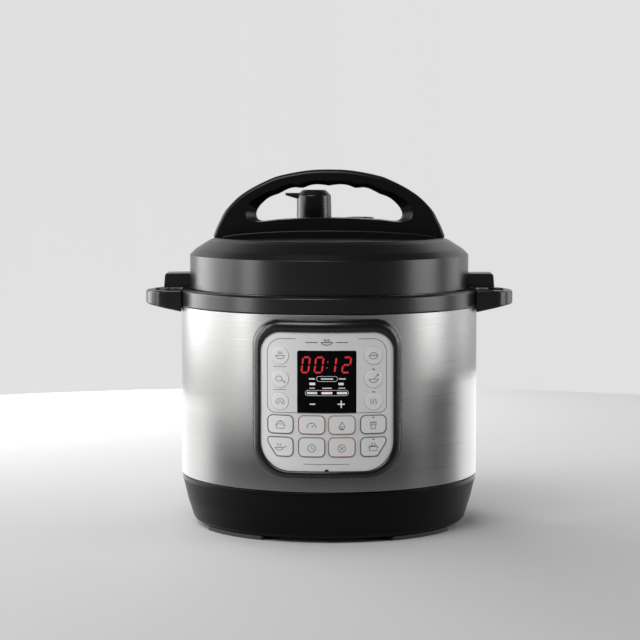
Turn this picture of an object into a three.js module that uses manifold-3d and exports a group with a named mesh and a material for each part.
// Electric pressure cooker, three-litre class, as an assembly of separate pieces.
// Millimetres, +Z up. The origin is on the cooker's own axis, in the plane it stands on,
// and the control panel faces -Y.
import * as THREE from 'three';
import { mergeVertices } from 'three/addons/utils/BufferGeometryUtils.js';
import Module from 'manifold-3d';

const wasm = await Module();
wasm.setup();

// ---------------------------------------------------------------- driving dimensions
const BODY_RADIUS = 118; // outside of the steel shell
const SHELL_HEIGHT = 134.4; // the steel band between base and upper ring
const BASE_HEIGHT = 40.6; // top of the plastic base, above the table
const RING_HEIGHT = 13; // black upper ring above the shell
const LID_SKIRT_HEIGHT = 25; // upright side of the lid cover
const LID_CROWN_HEIGHT = 15; // from the top of that side to the crown's rim
const HANDLE_RISE = 54.4; // top of the lid's handle above the crown's rim
const PANEL_WIDTH = 113;
const SIDE_HANDLE_REACH = 28.5; // how far a side handle stands out from the body
const POT_SHORTER = 0.4; // the cooking pot's depth is less than the band's height by this
const POT_DEPTH = SHELL_HEIGHT - POT_SHORTER; // inside of the cooking pot, floor to rim

// ---------------------------------------------------------------- walls and clearances
const PLASTIC = 2.5; // moulded wall
const STEEL = 1.2; // pressed sheet
const SHELL_WALL = 0.8; // the outer steel band
const REST_GAP = 0.4; // between pieces that touch or rest
const TURN_GAP = 0.8; // between pieces that turn past each other
const KEY_GAP = 0.35; // round each key
const ROUND = 48; // facets round the large turned pieces
const INNER_ROUND = 24; // facets round the plain inner ones
const SMALL_ROUND = 16; // facets round the small ones

// ---------------------------------------------------------------- levels and radii they give
const SHELL_TOP = BASE_HEIGHT + SHELL_HEIGHT;
const RING_TOP = SHELL_TOP + RING_HEIGHT;
const LID_SEAT = RING_TOP + REST_GAP; // lower edge of the lid cover
const COOK_WELL_RADIUS = BODY_RADIUS - 18; // outside of the fixed outer pot
const POT_RADIUS = COOK_WELL_RADIUS - 7; // outside of the lift-out cooking pot
const LID_RADIUS = BODY_RADIUS - 6.8;
const LID_SKIRT_RADIUS = COOK_WELL_RADIUS + 7.2; // outside of the inner lid's locking skirt
const WELL_RIM = RING_TOP - 4; // top of the outer pot's rim
const POT_SEAT = WELL_RIM + REST_GAP; // underside of the cooking pot's rim
const POT_RIM = POT_SEAT + 1.6;
const POT_FLOOR = POT_RIM - POT_DEPTH - STEEL; // underside of the cooking pot
const SKIRT_FOOT_RADIUS = BODY_RADIUS - 9;
const FOOT_HEIGHT = 3.6;

// ---------------------------------------------------------------- shape helpers
function solid(geometry) {
  const bare = geometry.index ? geometry.toNonIndexed() : geometry.clone();
  bare.deleteAttribute('normal');
  bare.deleteAttribute('uv');
  const merged = mergeVertices(bare, 1e-4);
  return new wasm.Manifold(new wasm.Mesh({
    numProp: 3,
    vertProperties: new Float32Array(merged.attributes.position.array),
    triVerts: new Uint32Array(merged.index.array),
  }));
}

function geometryOf(body) {
  const mesh = body.getMesh();
  const geometry = new THREE.BufferGeometry();
  geometry.setAttribute('position', new THREE.BufferAttribute(mesh.vertProperties, 3));
  geometry.setIndex(new THREE.BufferAttribute(mesh.triVerts, 1));
  return geometry;
}

const join = (first, ...rest) => rest.reduce((sum, piece) => sum.add(piece), first);
const cut = (first, ...rest) => rest.reduce((left, piece) => left.subtract(piece), first);

// A profile of [radius, height] pairs, counter-clockwise, turned about the Z axis.
function turned(profile, facets = ROUND) {
  const points = profile.map(([radius, height]) => new THREE.Vector2(radius, height));
  const onAxis = profile[0][0] === 0 && profile.at(-1)[0] === 0;
  if (!onAxis) {
    points.push(points[0].clone());
  }
  return new THREE.LatheGeometry(points, facets).rotateX(Math.PI / 2);
}

const disc = (radius, low, high, facets = SMALL_ROUND) =>
  turned([[0, low], [radius, low], [radius, high], [0, high]], facets);

const hoop = (inner, outer, low, high, facets = ROUND) =>
  turned([[inner, low], [outer, low], [outer, high], [inner, high]], facets);

function block(x, y, z) {
  const geometry = new THREE.BoxGeometry(x[1] - x[0], y[1] - y[0], z[1] - z[0]);
  return geometry.translate((x[0] + x[1]) / 2, (y[0] + y[1]) / 2, (z[0] + z[1]) / 2);
}

// A closed outline with its corners rounded; radii run from the lower left, counter-clockwise.
function roundedOutline(x0, y0, x1, y1, radii) {
  const [a, b, c, d] = Array.isArray(radii) ? radii : [radii, radii, radii, radii];
  const shape = new THREE.Shape();
  shape.moveTo(x0 + a, y0);
  shape.lineTo(x1 - b, y0);
  shape.absarc(x1 - b, y0 + b, b, -Math.PI / 2, 0, false);
  shape.lineTo(x1, y1 - c);
  shape.absarc(x1 - c, y1 - c, c, 0, Math.PI / 2, false);
  shape.lineTo(x0 + d, y1);
  shape.absarc(x0 + d, y1 - d, d, Math.PI / 2, Math.PI, false);
  shape.lineTo(x0, y0 + a);
  shape.absarc(x0 + a, y0 + a, a, Math.PI, Math.PI * 1.5, false);
  return shape;
}

function polygon(points) {
  return new THREE.Shape(points.map(([x, y]) => new THREE.Vector2(x, y)));
}

function extruded(shape, depth, curveSegments = 3) {
  return new THREE.ExtrudeGeometry(shape, { depth, bevelEnabled: false, curveSegments });
}

// An outline in plan, raised from one level to another.
const standing = (shape, low, high, curveSegments) =>
  extruded(shape, high - low, curveSegments).translate(0, 0, low);

// An outline seen from the front, (x, z), running back from y = front to y = back.
const facing = (shape, front, back, curveSegments) =>
  extruded(shape, back - front, curveSegments).rotateX(Math.PI / 2).translate(0, back, 0);

// A slice of a hoop between two angles, in degrees from +X.
function sector(inner, outer, low, high, from, to, steps = 4) {
  const arc = (radius, start, end) => Array.from({ length: steps + 1 }, (_, i) => {
    const angle = THREE.MathUtils.degToRad(start + (end - start) * i / steps);
    return [radius * Math.cos(angle), radius * Math.sin(angle)];
  });
  return standing(polygon([...arc(outer, from, to), ...arc(inner, to, from)]), low, high);
}

// ---------------------------------------------------------------- materials
const materials = {
  charcoal: { color: 0x26282b, roughness: 0.5, metalness: 0 },
  black: { color: 0x151617, roughness: 0.55, metalness: 0 },
  steel: { color: 0xb9b6b0, roughness: 0.35, metalness: 1 },
  pressedSteel: { color: 0xc4c4c2, roughness: 0.3, metalness: 1 },
  aluminium: { color: 0xa9abad, roughness: 0.5, metalness: 1 },
  brass: { color: 0xb08a3e, roughness: 0.4, metalness: 1 },
  silver: { color: 0xb4b3ae, roughness: 0.4, metalness: 0.6 },
  glass: { color: 0x140c0c, roughness: 0.1, metalness: 0 },
  smoked: { color: 0x8d9398, roughness: 0.2, metalness: 0 },
  rubber: { color: 0x1b1b1c, roughness: 0.9, metalness: 0 },
  silicone: { color: 0xd8d6cf, roughness: 0.7, metalness: 0 },
  board: { color: 0x1f5a34, roughness: 0.6, metalness: 0 },
};

function piece(name, shape, finish, position = [0, 0, 0], turn = 0) {
  const geometry = shape.isBufferGeometry ? shape : geometryOf(shape);
  const mesh = new THREE.Mesh(geometry, new THREE.MeshStandardMaterial(materials[finish]));
  mesh.name = name;
  mesh.position.set(...position);
  mesh.rotation.z = turn;
  return mesh;
}

const cooker = new THREE.Group();
const base = new THREE.Group();
const panel = new THREE.Group();
const lid = new THREE.Group();
cooker.add(base, lid);
base.add(panel);

// ---------------------------------------------------------------- base skirt and underside
const inletLevel = BASE_HEIGHT * 0.6;
const inletHalf = { wide: 15, high: 10 };
const coverRadius = SKIRT_FOOT_RADIUS - 9;
const floorTop = FOOT_HEIGHT + PLASTIC;
const skirtTop = BASE_HEIGHT - REST_GAP;

const skirt = solid(turned([
  [coverRadius + REST_GAP, FOOT_HEIGHT],
  [SKIRT_FOOT_RADIUS - 2, FOOT_HEIGHT],
  [SKIRT_FOOT_RADIUS, floorTop],
  [BODY_RADIUS - 4.4, BASE_HEIGHT * 0.5],
  [BODY_RADIUS - 1.2, BASE_HEIGHT * 0.81],
  [BODY_RADIUS, skirtTop - 3],
  [BODY_RADIUS, skirtTop],
  [BODY_RADIUS - PLASTIC, skirtTop],
  [BODY_RADIUS - PLASTIC - 1.4, BASE_HEIGHT * 0.81],
  [BODY_RADIUS - PLASTIC - 4.8, BASE_HEIGHT * 0.5],
  [SKIRT_FOOT_RADIUS - PLASTIC - 1, floorTop + 1],
  [coverRadius + REST_GAP, floorTop],
]));
const inletHole = solid(block(
  [-inletHalf.wide - REST_GAP, inletHalf.wide + REST_GAP],
  [BODY_RADIUS - 22, BODY_RADIUS + 5],
  [inletLevel - inletHalf.high - REST_GAP, inletLevel + inletHalf.high + REST_GAP],
));
base.add(piece('base_skirt', cut(skirt, inletHole), 'charcoal'));

const coverScrewRadius = coverRadius - 10;
const coverHoles = [45, 135, 225, 315].map((angle) => {
  const turn = THREE.MathUtils.degToRad(angle);
  const at = [coverScrewRadius * Math.cos(turn), coverScrewRadius * Math.sin(turn)];
  return { turn, at };
});
const bottomPlate = cut(
  solid(disc(coverRadius, FOOT_HEIGHT, floorTop, INNER_ROUND)),
  ...coverHoles.map(({ at }) => solid(disc(2, 0, floorTop + 1, 8).translate(...at, 0))),
);
base.add(piece('bottom_cover', bottomPlate, 'black'));

coverHoles.forEach(({ turn, at }, i) => {
  const screw = turned([
    [0, FOOT_HEIGHT - 2.2], [3.4, FOOT_HEIGHT - 2.2], [3.8, FOOT_HEIGHT - REST_GAP],
    [1.5, FOOT_HEIGHT - REST_GAP], [1.5, floorTop + 5], [0, floorTop + 5],
  ], 8);
  base.add(piece(`bottom_screw_${i + 1}`, screw, 'pressedSteel', [...at, 0]));
  const foot = sector(SKIRT_FOOT_RADIUS - 11, SKIRT_FOOT_RADIUS - 2,
    0, FOOT_HEIGHT - REST_GAP, -17, 17, 6);
  base.add(piece(`foot_${i + 1}`, foot, 'rubber', [0, 0, 0], turn));
});

// ---------------------------------------------------------------- power inlet, at the back
const inletBack = BODY_RADIUS - 3.6;
const inletDepth = 24;
const socketFloor = inletBack - 17;
const inletBody = cut(
  solid(facing(roundedOutline(-inletHalf.wide, inletLevel - inletHalf.high,
    inletHalf.wide, inletLevel + inletHalf.high, 2), inletBack - inletDepth, inletBack)),
  solid(facing(roundedOutline(-inletHalf.wide + 2.5, inletLevel - inletHalf.high + 2.5,
    inletHalf.wide - 2.5, inletLevel + inletHalf.high - 2.5, 2), socketFloor, inletBack + 1)),
);
base.add(piece('power_inlet', inletBody, 'black'));
[[-7, -1.5], [0, 1.5], [7, -1.5]].forEach(([x, z], i) => {
  const pin = block([-2, 2], [socketFloor + REST_GAP, socketFloor + 9], [-1, 1]);
  base.add(piece(`inlet_pin_${i + 1}`, pin, 'brass', [x, 0, inletLevel + z]));
});

// ---------------------------------------------------------------- panel layout
// Places are in millimetres on a 113 by 120 panel, from its middle; fitX and fitZ carry them
// to the panel that the driving dimensions give.
const PANEL_HEIGHT = SHELL_HEIGHT - 14.1;
const PANEL_MIDDLE = SHELL_TOP - 3.3 - PANEL_HEIGHT / 2;
const fitX = PANEL_WIDTH / 113;
const fitZ = PANEL_HEIGHT / 120.3;
const keyFit = Math.min(fitX, fitZ);
const panelOutline = (x0, z0, x1, z1, radii) => {
  const scaled = Array.isArray(radii) ? radii.map((r) => r * keyFit) : radii * keyFit;
  return roundedOutline(x0 * fitX, z0 * fitZ, x1 * fitX, z1 * fitZ, scaled);
};
const through = (outline, segments) =>
  solid(facing(outline, -BODY_RADIUS - 40, -BODY_RADIUS / 2, segments));
const layer = (inner, outer) =>
  solid(hoop(BODY_RADIUS + inner, BODY_RADIUS + outer, -PANEL_HEIGHT, PANEL_HEIGHT));

const roundKeys = [33, 15.3, -1.5];
const wideKeys = [[-45.2, -24.7], [-21.9, -0.8], [0.6, 21.9], [24.7, 45.2]];
const wideRows = [[-26.4, -11.2], [-43.6, -27.8]];
const keys = [
  ...['a', 'b', 'c'].map((row, i) => ({ name: `key_left_${row}`, round: [-35.2, roundKeys[i], 6.6] })),
  ...['a', 'b', 'c'].map((row, i) => ({ name: `key_right_${row}`, round: [35, roundKeys[i], 6.6] })),
  { name: 'key_minus', round: [-10.8, -3.2, 4.2] },
  { name: 'key_plus', round: [10.8, -3.2, 4.2] },
  ...wideRows.flatMap(([low, high], row) => wideKeys.map(([left, right], column) => ({
    name: `key_row${row + 1}_${column + 1}`,
    wide: [left, low, right, high],
    radii: [row === 1 && column === 0 ? 7 : 4.5, row === 1 && column === 3 ? 7 : 4.5, 4.5, 4.5],
  }))),
];

function keyOutline(key, spare) {
  if (key.round) {
    const [x, z, radius] = key.round;
    const shape = new THREE.Shape();
    shape.absarc(x * fitX, z * fitZ, radius * keyFit + spare, 0, Math.PI * 2, false);
    return shape;
  }
  const [x0, z0, x1, z1] = key.wide;
  const inset = (KEY_GAP - spare) / keyFit;
  return panelOutline(x0 + inset, z0 + inset, x1 - inset, z1 - inset, key.radii);
}
const keySolid = (key, spare) => through(keyOutline(key, spare), key.round ? 5 : 2);

// ---------------------------------------------------------------- control panel pieces
const OVERLAY_FRONT = 5.1; // above the steel shell
const BEZEL_FRONT = 6.8;
const KEY_FRONT = 5.6;
const boardFront = COOK_WELL_RADIUS + 6;
const frameHalf = { wide: 43, high: 50 };
const screen = [-22.2, -10.4, 22.2, 37];
const frameTube = cut(
  through(panelOutline(-frameHalf.wide, -frameHalf.high, frameHalf.wide, frameHalf.high, 3), 1),
  through(panelOutline(-frameHalf.wide + 2, -frameHalf.high + 2,
    frameHalf.wide - 2, frameHalf.high - 2, 2), 1),
).intersect(solid(block([-PANEL_WIDTH, PANEL_WIDTH],
  [-BODY_RADIUS - 1.2, -boardFront - REST_GAP], [-PANEL_HEIGHT, PANEL_HEIGHT])));
const bezelFace = through(panelOutline(-56.5, -60.15, 56.5, 60.15, [26, 26, 20, 20]), 4)
  .intersect(layer(REST_GAP, BEZEL_FRONT));
const overlayRecess = through(panelOutline(-50.4, -54.4, 50.4, 50.9, [22, 22, 15, 15]), 4)
  .intersect(layer(OVERLAY_FRONT - 1.3, BEZEL_FRONT + 5));
const keyWell = through(panelOutline(-47, -46, 47, 42, 6), 1)
  .intersect(layer(1.5, BEZEL_FRONT + 5));
const screenHole = through(panelOutline(-20, 4, 20, 35, 1), 1);
panel.position.set(0, 0, PANEL_MIDDLE);
panel.add(piece('panel_bezel',
  cut(bezelFace.add(frameTube), overlayRecess, keyWell, screenHole), 'charcoal'));

const overlaySheet = through(panelOutline(-50, -54, 50, 50.5, [22, 22, 15, 15]), 4)
  .intersect(layer(OVERLAY_FRONT - 1, OVERLAY_FRONT));
const screenOpening = through(panelOutline(...screen, 2), 1);
panel.add(piece('panel_overlay',
  cut(overlaySheet, screenOpening, ...keys.map((key) => keySolid(key, KEY_GAP))), 'silver'));

const [windowLeft, windowLow, windowRight, windowHigh] = screen;
const windowSheet = through(panelOutline(windowLeft + KEY_GAP, windowLow + KEY_GAP,
  windowRight - KEY_GAP, windowHigh - KEY_GAP, 2), 1)
  .intersect(layer(OVERLAY_FRONT - 1, OVERLAY_FRONT));
panel.add(piece('display_window',
  cut(windowSheet, ...keys.map((key) => keySolid(key, KEY_GAP))), 'glass'));

const screenReach = Math.sqrt((BODY_RADIUS + 3) ** 2 - (20 * fitX) ** 2) - 1;
panel.add(piece('led_display', block([-19 * fitX, 19 * fitX],
  [-screenReach, -boardFront - REST_GAP], [8 * fitZ, 33 * fitZ]), 'black'));
panel.add(piece('control_board', block([-42 * fitX, 42 * fitX],
  [-boardFront, -boardFront + 1.6], [-48 * fitZ, 48 * fitZ]), 'board'));

keys.forEach((key) => {
  panel.add(piece(key.name, keySolid(key, 0).intersect(layer(2.7, KEY_FRONT)), 'silver'));
});

// ---------------------------------------------------------------- steel shell
const shellBand = solid(hoop(BODY_RADIUS - SHELL_WALL, BODY_RADIUS, BASE_HEIGHT, SHELL_TOP));
const panelOpening = solid(facing(panelOutline(-frameHalf.wide - 0.5, -frameHalf.high - 0.5,
  frameHalf.wide + 0.5, frameHalf.high + 0.5, 3), -BODY_RADIUS - 5, -BODY_RADIUS / 2, 1)
  .translate(0, 0, PANEL_MIDDLE));
base.add(piece('outer_shell', cut(shellBand, panelOpening), 'steel'));

// ---------------------------------------------------------------- upper ring
const ringOuter = BODY_RADIUS + 0.8;
const ringInner = LID_SKIRT_RADIUS + 2;
const ledgeTop = RING_TOP - 15.7;
base.add(piece('upper_ring', turned([
  [COOK_WELL_RADIUS + 2, ledgeTop - 2.5],
  [ringInner + 3, ledgeTop - 2.5],
  [ringInner + 3, SHELL_TOP + REST_GAP],
  [ringOuter, SHELL_TOP + REST_GAP],
  [ringOuter, RING_TOP - 1.6],
  [ringOuter - 1.6, RING_TOP],
  [ringInner, RING_TOP],
  [ringInner, ledgeTop],
  [COOK_WELL_RADIUS + 2, ledgeTop],
]), 'black'));

// ---------------------------------------------------------------- side handles
const HANDLE_HALF_LENGTH = 27;
const finSlot = { inner: 8, outer: 20.5, half: 14 };
const slotCorner = 2;
const handleInner = ringOuter + REST_GAP;
const handleTip = BODY_RADIUS + SIDE_HANDLE_REACH;
const handleSlotX = [handleInner + finSlot.inner, handleInner + finSlot.outer];
function sideHandle() {
  const plan = roundedOutline(handleInner - 12, -HANDLE_HALF_LENGTH,
    handleTip, HANDLE_HALF_LENGTH, [0.5, 15, 15, 0.5]);
  const body = solid(standing(plan, SHELL_TOP - 8, RING_TOP - 0.6, 4));
  const round = solid(disc(handleInner, 0, RING_TOP + 10, ROUND));
  const under = solid(extruded(polygon([
    [handleInner - 20, SHELL_TOP - 20],
    [handleTip + 5, SHELL_TOP - 20],
    [handleTip + 5, SHELL_TOP + 1.6],
    [handleInner + 17, SHELL_TOP - 0.8],
    [handleInner - 20, SHELL_TOP - 8.6],
  ]), 4 * HANDLE_HALF_LENGTH).rotateX(Math.PI / 2).translate(0, 2 * HANDLE_HALF_LENGTH, 0));
  const slot = solid(standing(roundedOutline(handleSlotX[0], -finSlot.half,
    handleSlotX[1], finSlot.half, slotCorner), 0, RING_TOP + 10, 2));
  return cut(body, round, under, slot);
}
base.add(piece('side_handle_right', sideHandle(), 'charcoal'));
base.add(piece('side_handle_left', sideHandle(), 'charcoal', [0, 0, 0], Math.PI));

// ---------------------------------------------------------------- outer pot with locking lugs
const LUG_COUNT = 6;
const LUG_SPAN = 26; // degrees
const wellFloor = POT_FLOOR - 13.5;
const sensorHole = 17;
const wellWall = turned([
  [sensorHole, wellFloor],
  [COOK_WELL_RADIUS - 8, wellFloor],
  [COOK_WELL_RADIUS, wellFloor + 6],
  [COOK_WELL_RADIUS, ledgeTop + REST_GAP],
  [ringInner - 1.4, ledgeTop + REST_GAP],
  [ringInner - 1.4, ledgeTop + REST_GAP + STEEL],
  [COOK_WELL_RADIUS, ledgeTop + REST_GAP + STEEL],
  [COOK_WELL_RADIUS, WELL_RIM - 2],
  [COOK_WELL_RADIUS + 1.2, WELL_RIM - 2],
  [COOK_WELL_RADIUS + 1.2, WELL_RIM],
  [COOK_WELL_RADIUS - STEEL, WELL_RIM],
  [COOK_WELL_RADIUS - STEEL, wellFloor + 6.5],
  [COOK_WELL_RADIUS - 8.5, wellFloor + STEEL],
  [sensorHole, wellFloor + STEEL],
]);
const lugs = Array.from({ length: LUG_COUNT }, (_, i) => {
  const middle = i * 360 / LUG_COUNT;
  return solid(sector(COOK_WELL_RADIUS - 0.5, COOK_WELL_RADIUS + 5, WELL_RIM - 2, WELL_RIM,
    middle - LUG_SPAN / 2, middle + LUG_SPAN / 2));
});
base.add(piece('outer_pot', join(solid(wellWall), ...lugs), 'pressedSteel'));

// ---------------------------------------------------------------- heater and sensor
const heaterTop = POT_FLOOR - REST_GAP;
const heaterRadius = POT_RADIUS - 8;
base.add(piece('heating_plate', turned([
  [sensorHole, heaterTop - 8],
  [heaterRadius * 0.6, heaterTop - 8],
  [heaterRadius * 0.6, wellFloor + STEEL + REST_GAP],
  [heaterRadius * 0.8, wellFloor + STEEL + REST_GAP],
  [heaterRadius * 0.8, heaterTop - 8],
  [heaterRadius, heaterTop - 6],
  [heaterRadius, heaterTop],
  [sensorHole, heaterTop],
], INNER_ROUND), 'aluminium'));

const sensorTop = heaterTop;
const sensorRadius = sensorHole - TURN_GAP - 0.6;
base.add(piece('temperature_sensor', turned([
  [0, sensorTop - 12], [5, sensorTop - 12], [5, sensorTop - 5], [sensorRadius, sensorTop - 5],
  [sensorRadius, sensorTop - 1], [sensorRadius - 1, sensorTop], [0, sensorTop],
], SMALL_ROUND), 'aluminium'));

const springTop = sensorTop - 5 - REST_GAP;
const springLow = wellFloor - 8;
class SpringCurve extends THREE.Curve {
  getPoint(t, target = new THREE.Vector3()) {
    const angle = t * Math.PI * 2 * 4;
    const rise = springLow + 0.8 + t * (springTop - springLow - 1.6);
    return target.set(8.5 * Math.cos(angle), 8.5 * Math.sin(angle), rise);
  }
}
const wire = new THREE.Shape();
wire.absarc(0, 0, 0.55, 0, Math.PI * 2, false);
base.add(piece('sensor_spring', new THREE.ExtrudeGeometry(wire,
  { steps: 40, curveSegments: 2, bevelEnabled: false, extrudePath: new SpringCurve() }),
'pressedSteel'));

base.add(piece('sensor_seat', turned([
  [6.5, springLow - 3], [COOK_WELL_RADIUS * 0.3, springLow - 3],
  [COOK_WELL_RADIUS * 0.3, wellFloor - REST_GAP], [COOK_WELL_RADIUS * 0.3 - 2, wellFloor - REST_GAP],
  [COOK_WELL_RADIUS * 0.3 - 2, springLow - REST_GAP], [6.5, springLow - REST_GAP],
], 24), 'pressedSteel'));

const boardLevel = floorTop + 5.5;
base.add(piece('power_board', block([-34, 34], [-75, -32], [boardLevel, boardLevel + 1.6]),
  'board'));
base.add(piece('pressure_switch', block([38, 60], [-12, 12],
  [floorTop + REST_GAP, wellFloor - 3]), 'black'));

// ---------------------------------------------------------------- condensation collector
const CUP_HALF_WIDTH = 29;
const CUP_REACH = 23;
const SPOUT_HALF_WIDTH = 17;
const SPOUT_REACH = 12;
const cupWall = 1.8;
const cupTop = SHELL_TOP - 9;
const cupFloor = cupTop - SHELL_HEIGHT * 0.34;
const behind = (reach, inset) => roundedOutline(-CUP_HALF_WIDTH + inset, BODY_RADIUS - 15,
  CUP_HALF_WIDTH - inset, BODY_RADIUS + reach - inset, [0.5, 0.5, 7 - inset, 7 - inset]);
const cup = cut(
  solid(standing(behind(CUP_REACH, 0), cupFloor, cupTop)),
  solid(disc(BODY_RADIUS + REST_GAP, 0, RING_TOP, ROUND)),
  cut(solid(standing(behind(CUP_REACH, cupWall), cupFloor + cupWall, cupTop + 5)),
    solid(disc(BODY_RADIUS + REST_GAP + cupWall, 0, RING_TOP + 20, ROUND))),
);
base.add(piece('condensation_cup', cup, 'smoked'));
const spout = cut(
  solid(standing(roundedOutline(-SPOUT_HALF_WIDTH, BODY_RADIUS - 15, SPOUT_HALF_WIDTH,
    BODY_RADIUS + SPOUT_REACH, [0.5, 0.5, 3, 3]), cupTop + REST_GAP + 0.4, SHELL_TOP - 1, 2)),
  solid(disc(BODY_RADIUS + REST_GAP, 0, RING_TOP, ROUND)),
  solid(block([-8, 8], [BODY_RADIUS - 20, BODY_RADIUS + 10],
    [cupTop + 3, SHELL_TOP - 2.6])),
);
base.add(piece('drip_spout', spout, 'charcoal'));

// ---------------------------------------------------------------- cooking pot
cooker.add(piece('cooking_pot', turned([
  [0, POT_FLOOR],
  [POT_RADIUS - 8, POT_FLOOR],
  [POT_RADIUS, POT_FLOOR + 8],
  [POT_RADIUS, POT_SEAT - 6],
  [COOK_WELL_RADIUS - 3, POT_SEAT],
  [COOK_WELL_RADIUS + 1, POT_SEAT],
  [COOK_WELL_RADIUS + 1, POT_RIM],
  [COOK_WELL_RADIUS - 3.8, POT_RIM],
  [POT_RADIUS - 1, POT_RIM - 6.4],
  [POT_RADIUS - 1, POT_FLOOR + 8.4],
  [POT_RADIUS - 8.4, POT_FLOOR + STEEL],
  [0, POT_FLOOR + STEEL],
]), 'pressedSteel'));

// ---------------------------------------------------------------- lid, measured from its seat
lid.position.set(0, 0, LID_SEAT);
const chamferFoot = LID_SKIRT_HEIGHT;
const crownRim = LID_SKIRT_HEIGHT + LID_CROWN_HEIGHT;
const crownRadius = LID_RADIUS - 20.4;
const VALVE_AT = [-13, 45];
const FLOAT_AT = [24.5, 45];
const sealTop = POT_RIM + REST_GAP + 10.6 - LID_SEAT;
const pressLid = sealTop + REST_GAP; // underside of the inner lid over the seal
const domeUnder = pressLid + 7.6;

// The outside of the lid cover, from the lower edge up to the middle of the crown.
const coverOutside = [
  [LID_RADIUS, 0],
  [LID_RADIUS, chamferFoot],
  [LID_RADIUS - 1.3, chamferFoot + LID_CROWN_HEIGHT * 0.2],
  [LID_RADIUS - 5.2, chamferFoot + LID_CROWN_HEIGHT * 0.42],
  [LID_RADIUS - 15.2, chamferFoot + LID_CROWN_HEIGHT * 0.84],
  [crownRadius, crownRim],
  [crownRadius - 3, crownRim],
  [crownRadius - 6.5, crownRim - 1.5],
  [crownRadius * 0.5, crownRim - 0.5],
  [0, crownRim],
];
const coverInside = [
  [0, crownRim - PLASTIC - 0.5],
  [crownRadius * 0.5, crownRim - PLASTIC - 1],
  [crownRadius - 6.5, crownRim - PLASTIC - 2],
  [LID_RADIUS - 15.2 - PLASTIC, chamferFoot + LID_CROWN_HEIGHT * 0.84 - PLASTIC],
  [LID_RADIUS - 5.2 - PLASTIC, chamferFoot + LID_CROWN_HEIGHT * 0.42 - PLASTIC * 0.4],
  [LID_RADIUS - PLASTIC, chamferFoot - 1],
  [LID_RADIUS - PLASTIC, 0],
];
const islandTop = crownRim + 12.4;
const island = cut(
  solid(standing(roundedOutline(-29, 21, 37, 71, 14), crownRim - 1.6, islandTop, 4)),
  solid(standing(roundedOutline(-29 + PLASTIC, 21 + PLASTIC, 37 - PLASTIC, 71 - PLASTIC, 11.5),
    0, islandTop - PLASTIC, 3)),
);
const islandOpening = solid(standing(roundedOutline(-29 + PLASTIC, 21 + PLASTIC,
  37 - PLASTIC, 71 - PLASTIC, 11.5), 0, crownRim + 5, 3));
const floatCollar = solid(disc(11.5, islandTop - 1, islandTop + 2).translate(...FLOAT_AT, 0));

// Fins at the two sides stand in the handles' slots when the lid is parked on edge.
const FIN_HALF = 12.5;
const FIN_REACH = 20.4;
const finLow = 0.2;
const fins = [-1, 1].map((side) => solid(facing(polygon([
  [side * (LID_RADIUS - 2), finLow],
  [side * (LID_RADIUS + FIN_REACH), finLow],
  [side * (LID_RADIUS + FIN_REACH - 0.8), finLow + 9.8],
  [side * (LID_RADIUS + FIN_REACH - 2), finLow + 11.2],
  [side * (LID_RADIUS - 2), finLow + 11.4],
]), -FIN_HALF, FIN_HALF)));
const cover = cut(
  join(cut(solid(turned([...coverOutside, ...coverInside])), islandOpening),
    island, floatCollar, ...fins),
  solid(disc(6, 0, islandTop + 5).translate(...VALVE_AT, 0)),
  solid(disc(5, 0, islandTop + 5).translate(...FLOAT_AT, 0)),
);
lid.add(piece('lid_cover', cover, 'charcoal'));

// ---------------------------------------------------------------- lid handle
// Half of the outline, [half width, height above the crown's rim], on a 90.8 crown radius.
const arch = [
  [71, -1.6], [90, -0.2], [92, 1.3], [89.6, 7.6], [86.5, 14], [83.1, 20.3], [77.7, 26.7],
  [70.9, 33], [61.1, 39.4], [48.5, 45.7], [39.7, 48.9], [24.8, 52], [10, 53.9],
];
const gripTop = [
  [58.2, 20], [56.6, 23.5], [53.5, 27.5], [44.7, 33], [37, 36], [27, 39.3], [20.5, 39.2],
  [8.5, 42], [0, 41],
];
const gripLow = [[0, 15.4], [51, 12.9], [56, 14], [58.2, 17]];
const handleScale = crownRadius / 90.8;
const riseScale = HANDLE_RISE / 54.4;
const both = (half) => [
  ...half.map(([x, z]) => [x, z]),
  ...half.filter(([x]) => x > 0).map(([x, z]) => [-x, z]).reverse(),
].map(([x, z]) => [x * handleScale, z * riseScale + crownRim]);
const gripHalf = [...gripLow, ...gripTop];
const grip = both(gripHalf.filter(([x]) => x > 0));
const handleOutline = polygon(both(arch));
const gripMiddle = (z) => [0, z * riseScale + crownRim];
const gripPoints = [gripMiddle(15.4), ...grip.slice(0, grip.length / 2), gripMiddle(41),
  ...grip.slice(grip.length / 2)];
const HANDLE_HALF_DEPTH = 12;
const flangeLow = -1.8;
const flange = standing(roundedOutline(-84 * handleScale, -13.6, 84 * handleScale, 13.6, 4),
  crownRim + flangeLow, crownRim + 5.6);
const crownCut = solid(turned([
  [0, -5], [LID_RADIUS + 5, -5],
  ...coverOutside.slice(1).map(([radius, height]) => [radius, height + REST_GAP]),
]));
const handle = cut(
  join(solid(facing(handleOutline, -HANDLE_HALF_DEPTH, HANDLE_HALF_DEPTH)), solid(flange)),
  solid(facing(polygon(gripPoints), -HANDLE_HALF_DEPTH - 10, HANDLE_HALF_DEPTH + 10)),
  crownCut,
);
lid.add(piece('lid_handle', handle, 'charcoal'));

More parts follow.
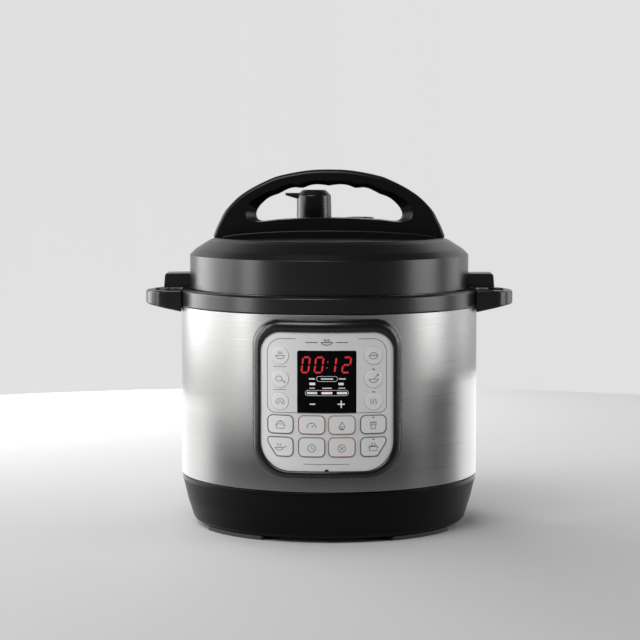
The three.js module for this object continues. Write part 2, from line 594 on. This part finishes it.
// ---------------------------------------------------------------- inner lid, seal and rack
const skirtLow = ledgeTop + REST_GAP + STEEL + 2.4 - LID_SEAT;
const tabTop = WELL_RIM - 2 - 1.5 - LID_SEAT;
const plate = solid(turned([
  [0, domeUnder],
  [POT_RADIUS - 14, domeUnder],
  [POT_RADIUS - 5, pressLid],
  [LID_SKIRT_RADIUS - STEEL, pressLid],
  [LID_SKIRT_RADIUS - STEEL, skirtLow],
  [LID_SKIRT_RADIUS, skirtLow],
  [LID_SKIRT_RADIUS, pressLid + STEEL],
  [POT_RADIUS - 4.6, pressLid + STEEL],
  [POT_RADIUS - 13.6, domeUnder + STEEL],
  [0, domeUnder + STEEL],
]));
const tabs = Array.from({ length: LUG_COUNT }, (_, i) => {
  const middle = i * 360 / LUG_COUNT;
  return solid(sector(COOK_WELL_RADIUS + 1.9, LID_SKIRT_RADIUS - 0.4, tabTop - 2.4, tabTop,
    middle - LUG_SPAN / 2, middle + LUG_SPAN / 2));
});
lid.add(piece('inner_lid', cut(
  join(plate, ...tabs),
  solid(disc(6, 0, 60).translate(...VALVE_AT, 0)),
  solid(disc(4.2, 0, 60).translate(...FLOAT_AT, 0)),
), 'pressedSteel'));

const sealLow = POT_RIM + REST_GAP - LID_SEAT;
lid.add(piece('sealing_ring', turned([
  [POT_RADIUS - 1, sealLow + 2.4],
  [POT_RADIUS + 0.5, sealLow],
  [COOK_WELL_RADIUS + 3, sealLow],
  [COOK_WELL_RADIUS + 4.2, sealLow + 3],
  [COOK_WELL_RADIUS + 4.2, sealTop],
  [POT_RADIUS - 1, sealTop],
]), 'silicone'));

const rackRadius = POT_RADIUS - 2.6;
lid.add(piece('seal_rack', turned([
  [rackRadius - 1, sealLow + 6], [rackRadius, sealLow + 5],
  [rackRadius + 1, sealLow + 6], [rackRadius, sealLow + 7],
], INNER_ROUND), 'pressedSteel'));

// ---------------------------------------------------------------- steam valve
const valve = new THREE.Group();
valve.position.set(...VALVE_AT, 0);
lid.add(valve);
const pipeTop = islandTop + 11.1;
valve.add(piece('vent_pipe', turned([
  [1.6, domeUnder - 6], [4.4, domeUnder - 6], [4.4, domeUnder - REST_GAP - 2.4],
  [8, domeUnder - REST_GAP - 2.4], [8, domeUnder - REST_GAP], [4.4, domeUnder - REST_GAP],
  [4.4, pipeTop - 4], [3, pipeTop], [1.6, pipeTop],
], SMALL_ROUND), 'pressedSteel'));
valve.add(piece('steam_filter', turned([
  [11.6, domeUnder - 13.5], [13.6, domeUnder - 13.5], [14.6, domeUnder - 0.6], [13, domeUnder - 0.6],
  [12.4, domeUnder - 9], [5.4, domeUnder - 9], [5.4, domeUnder - 10.6], [11.9, domeUnder - 10.6],
], SMALL_ROUND), 'pressedSteel'));
const weightTop = pipeTop + 7;
valve.add(piece('valve_weight', turned([
  [0, pipeTop + REST_GAP], [5.4, pipeTop + REST_GAP], [5.4, weightTop], [0, weightTop],
], SMALL_ROUND), 'brass'));

const knobTop = islandTop + 24.2;
const knobBody = solid(turned([
  [12, islandTop + 0.6],
  [14.3, islandTop + 0.6],
  [13.9, knobTop - 4.4],
  [10.4, knobTop - 0.9],
  [9.4, knobTop],
  [0, knobTop],
  [0, weightTop + REST_GAP],
  [6.2, weightTop + REST_GAP],
  [6.2, pipeTop - 5],
  [8, pipeTop - 5],
  [10.5, islandTop + 6],
], 24));
const lever = solid(standing(polygon([[-24.2, -2.6], [-24.2, 2.6], [-10, 5], [-10, -5]].reverse()),
  knobTop - 7, knobTop - 2.5));
valve.add(piece('steam_valve', knobBody.add(lever), 'black'));

// ---------------------------------------------------------------- float valve
const float = new THREE.Group();
float.position.set(...FLOAT_AT, 0);
lid.add(float);
const FLOAT_TRAVEL = 5;
const floatTop = islandTop + 0.6;
const capTop = domeUnder - FLOAT_TRAVEL - 0.6;
float.add(piece('float_valve', turned([
  [0, capTop - 5.5], [3.6, capTop - 5.5], [3.6, capTop - 4.1], [2.4, capTop - 4.1],
  [2.4, capTop + REST_GAP], [3.4, capTop + REST_GAP], [3.4, floatTop - 1], [2.6, floatTop], [0, floatTop],
], 12), 'pressedSteel'));
float.add(piece('float_cap', turned([
  [2.8, capTop - 3.7], [5.6, capTop - 3.7], [6.4, capTop - 1.5], [5.6, capTop], [2.8, capTop],
], 12), 'silicone'));

export default cooker;
